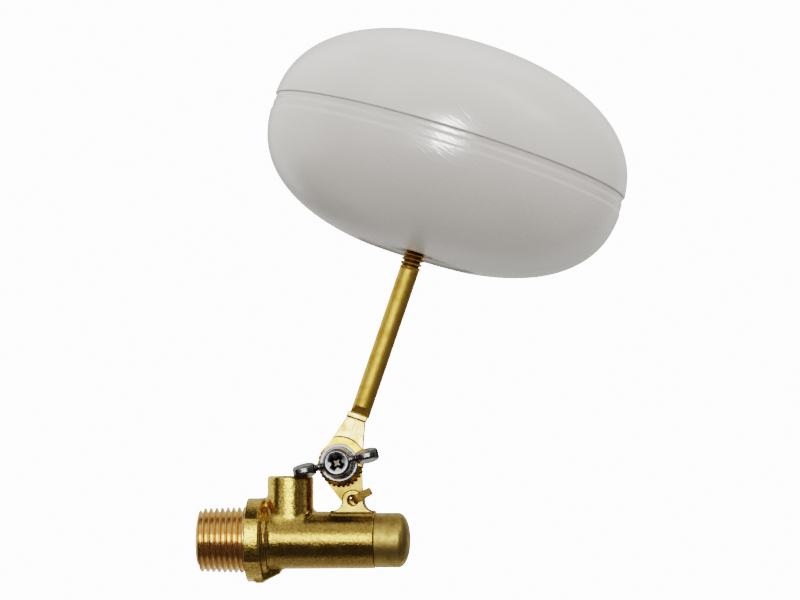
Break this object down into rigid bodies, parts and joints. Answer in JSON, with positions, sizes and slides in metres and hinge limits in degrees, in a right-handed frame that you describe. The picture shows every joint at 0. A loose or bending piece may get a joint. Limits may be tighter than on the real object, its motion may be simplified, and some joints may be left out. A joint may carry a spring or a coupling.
{
  "type": "float valve",
  "caption": "Threaded brass float valve: a hollow plastic float on an adjustable rod swings a pinned lever that slides a piston onto the seat of a side-outlet barrel.",
  "frame": {"origin": "on the barrel's axis, at the end face of the inlet thread", "axes": "+X along the barrel from the inlet thread to the end cap; +Z towards the outlet boss, the lever and the float, as in the picture; -Y towards the wing screw. Installed, the valve hangs the other way up, with the outlet and the float below the barrel (row -Z up)."},
  "size_m": [0.1373, 0.1165, 0.1762],
  "materials": {
    "cast_brass": "tumbled casting with a machined thread",
    "turned_brass": "satin turned",
    "stamped_brass": "bright stamped",
    "rod_brass": "drawn rod with a flattened end",
    "pin_brass": "dull wire",
    "nickel": "nickel plate",
    "float_plastic": "smooth moulded plastic",
    "seal_rubber": "matte"
  },
  "bodies": {
    "body": {"valve_body": "cast_brass", "seat_insert": "turned_brass", "end_cap": "turned_brass", "pivot_pin": "pin_brass"},
    "lever": {"lever": "stamped_brass"},
    "arm": {"float_arm": "rod_brass", "float_lower_shell": "float_plastic", "float_upper_shell": "float_plastic", "float_insert": "turned_brass"},
    "washer": {"clamp_washer": "nickel"},
    "wing_screw": {"wing_screw": "nickel"},
    "piston": {"piston": "turned_brass", "piston_o_ring": "seal_rubber", "seat_disc": "seal_rubber", "disc_retainer": "turned_brass"}
  },
  "joints": [
    {"name": "lever_swing", "type": "hinge", "parent": "body", "child": "lever", "pos_m": [0.0498, 0, 0.0125], "axis": [0, -1, 0], "range_deg": [0, 9]},
    {"name": "piston_slide", "type": "slide", "parent": "body", "child": "piston", "axis": [1, 0, 0], "range_m": [0, 0.00166]},
    {"name": "arm_adjust", "type": "hinge", "parent": "lever", "child": "arm", "pos_m": [0.0454, -0.00243, 0.0244], "axis": [0, -1, 0], "range_deg": [-50, 70]},
    {"name": "screw_turn", "type": "hinge", "parent": "washer", "child": "wing_screw", "pos_m": [0.0454, -0.00243, 0.0244], "axis": [0, -1, 0], "range_deg": [0, 360]},
    {"name": "screw_travel", "type": "slide", "parent": "lever", "child": "washer", "axis": [0, -1, 0], "range_m": [0, 0.00128]}
  ],
  "couplings": [
    {"joint": "piston_slide", "follows": "lever_swing", "m_per_rad": 0.0105},
    {"joint": "screw_travel", "follows": "screw_turn", "m_per_rad": 0.00020213}
  ]
}
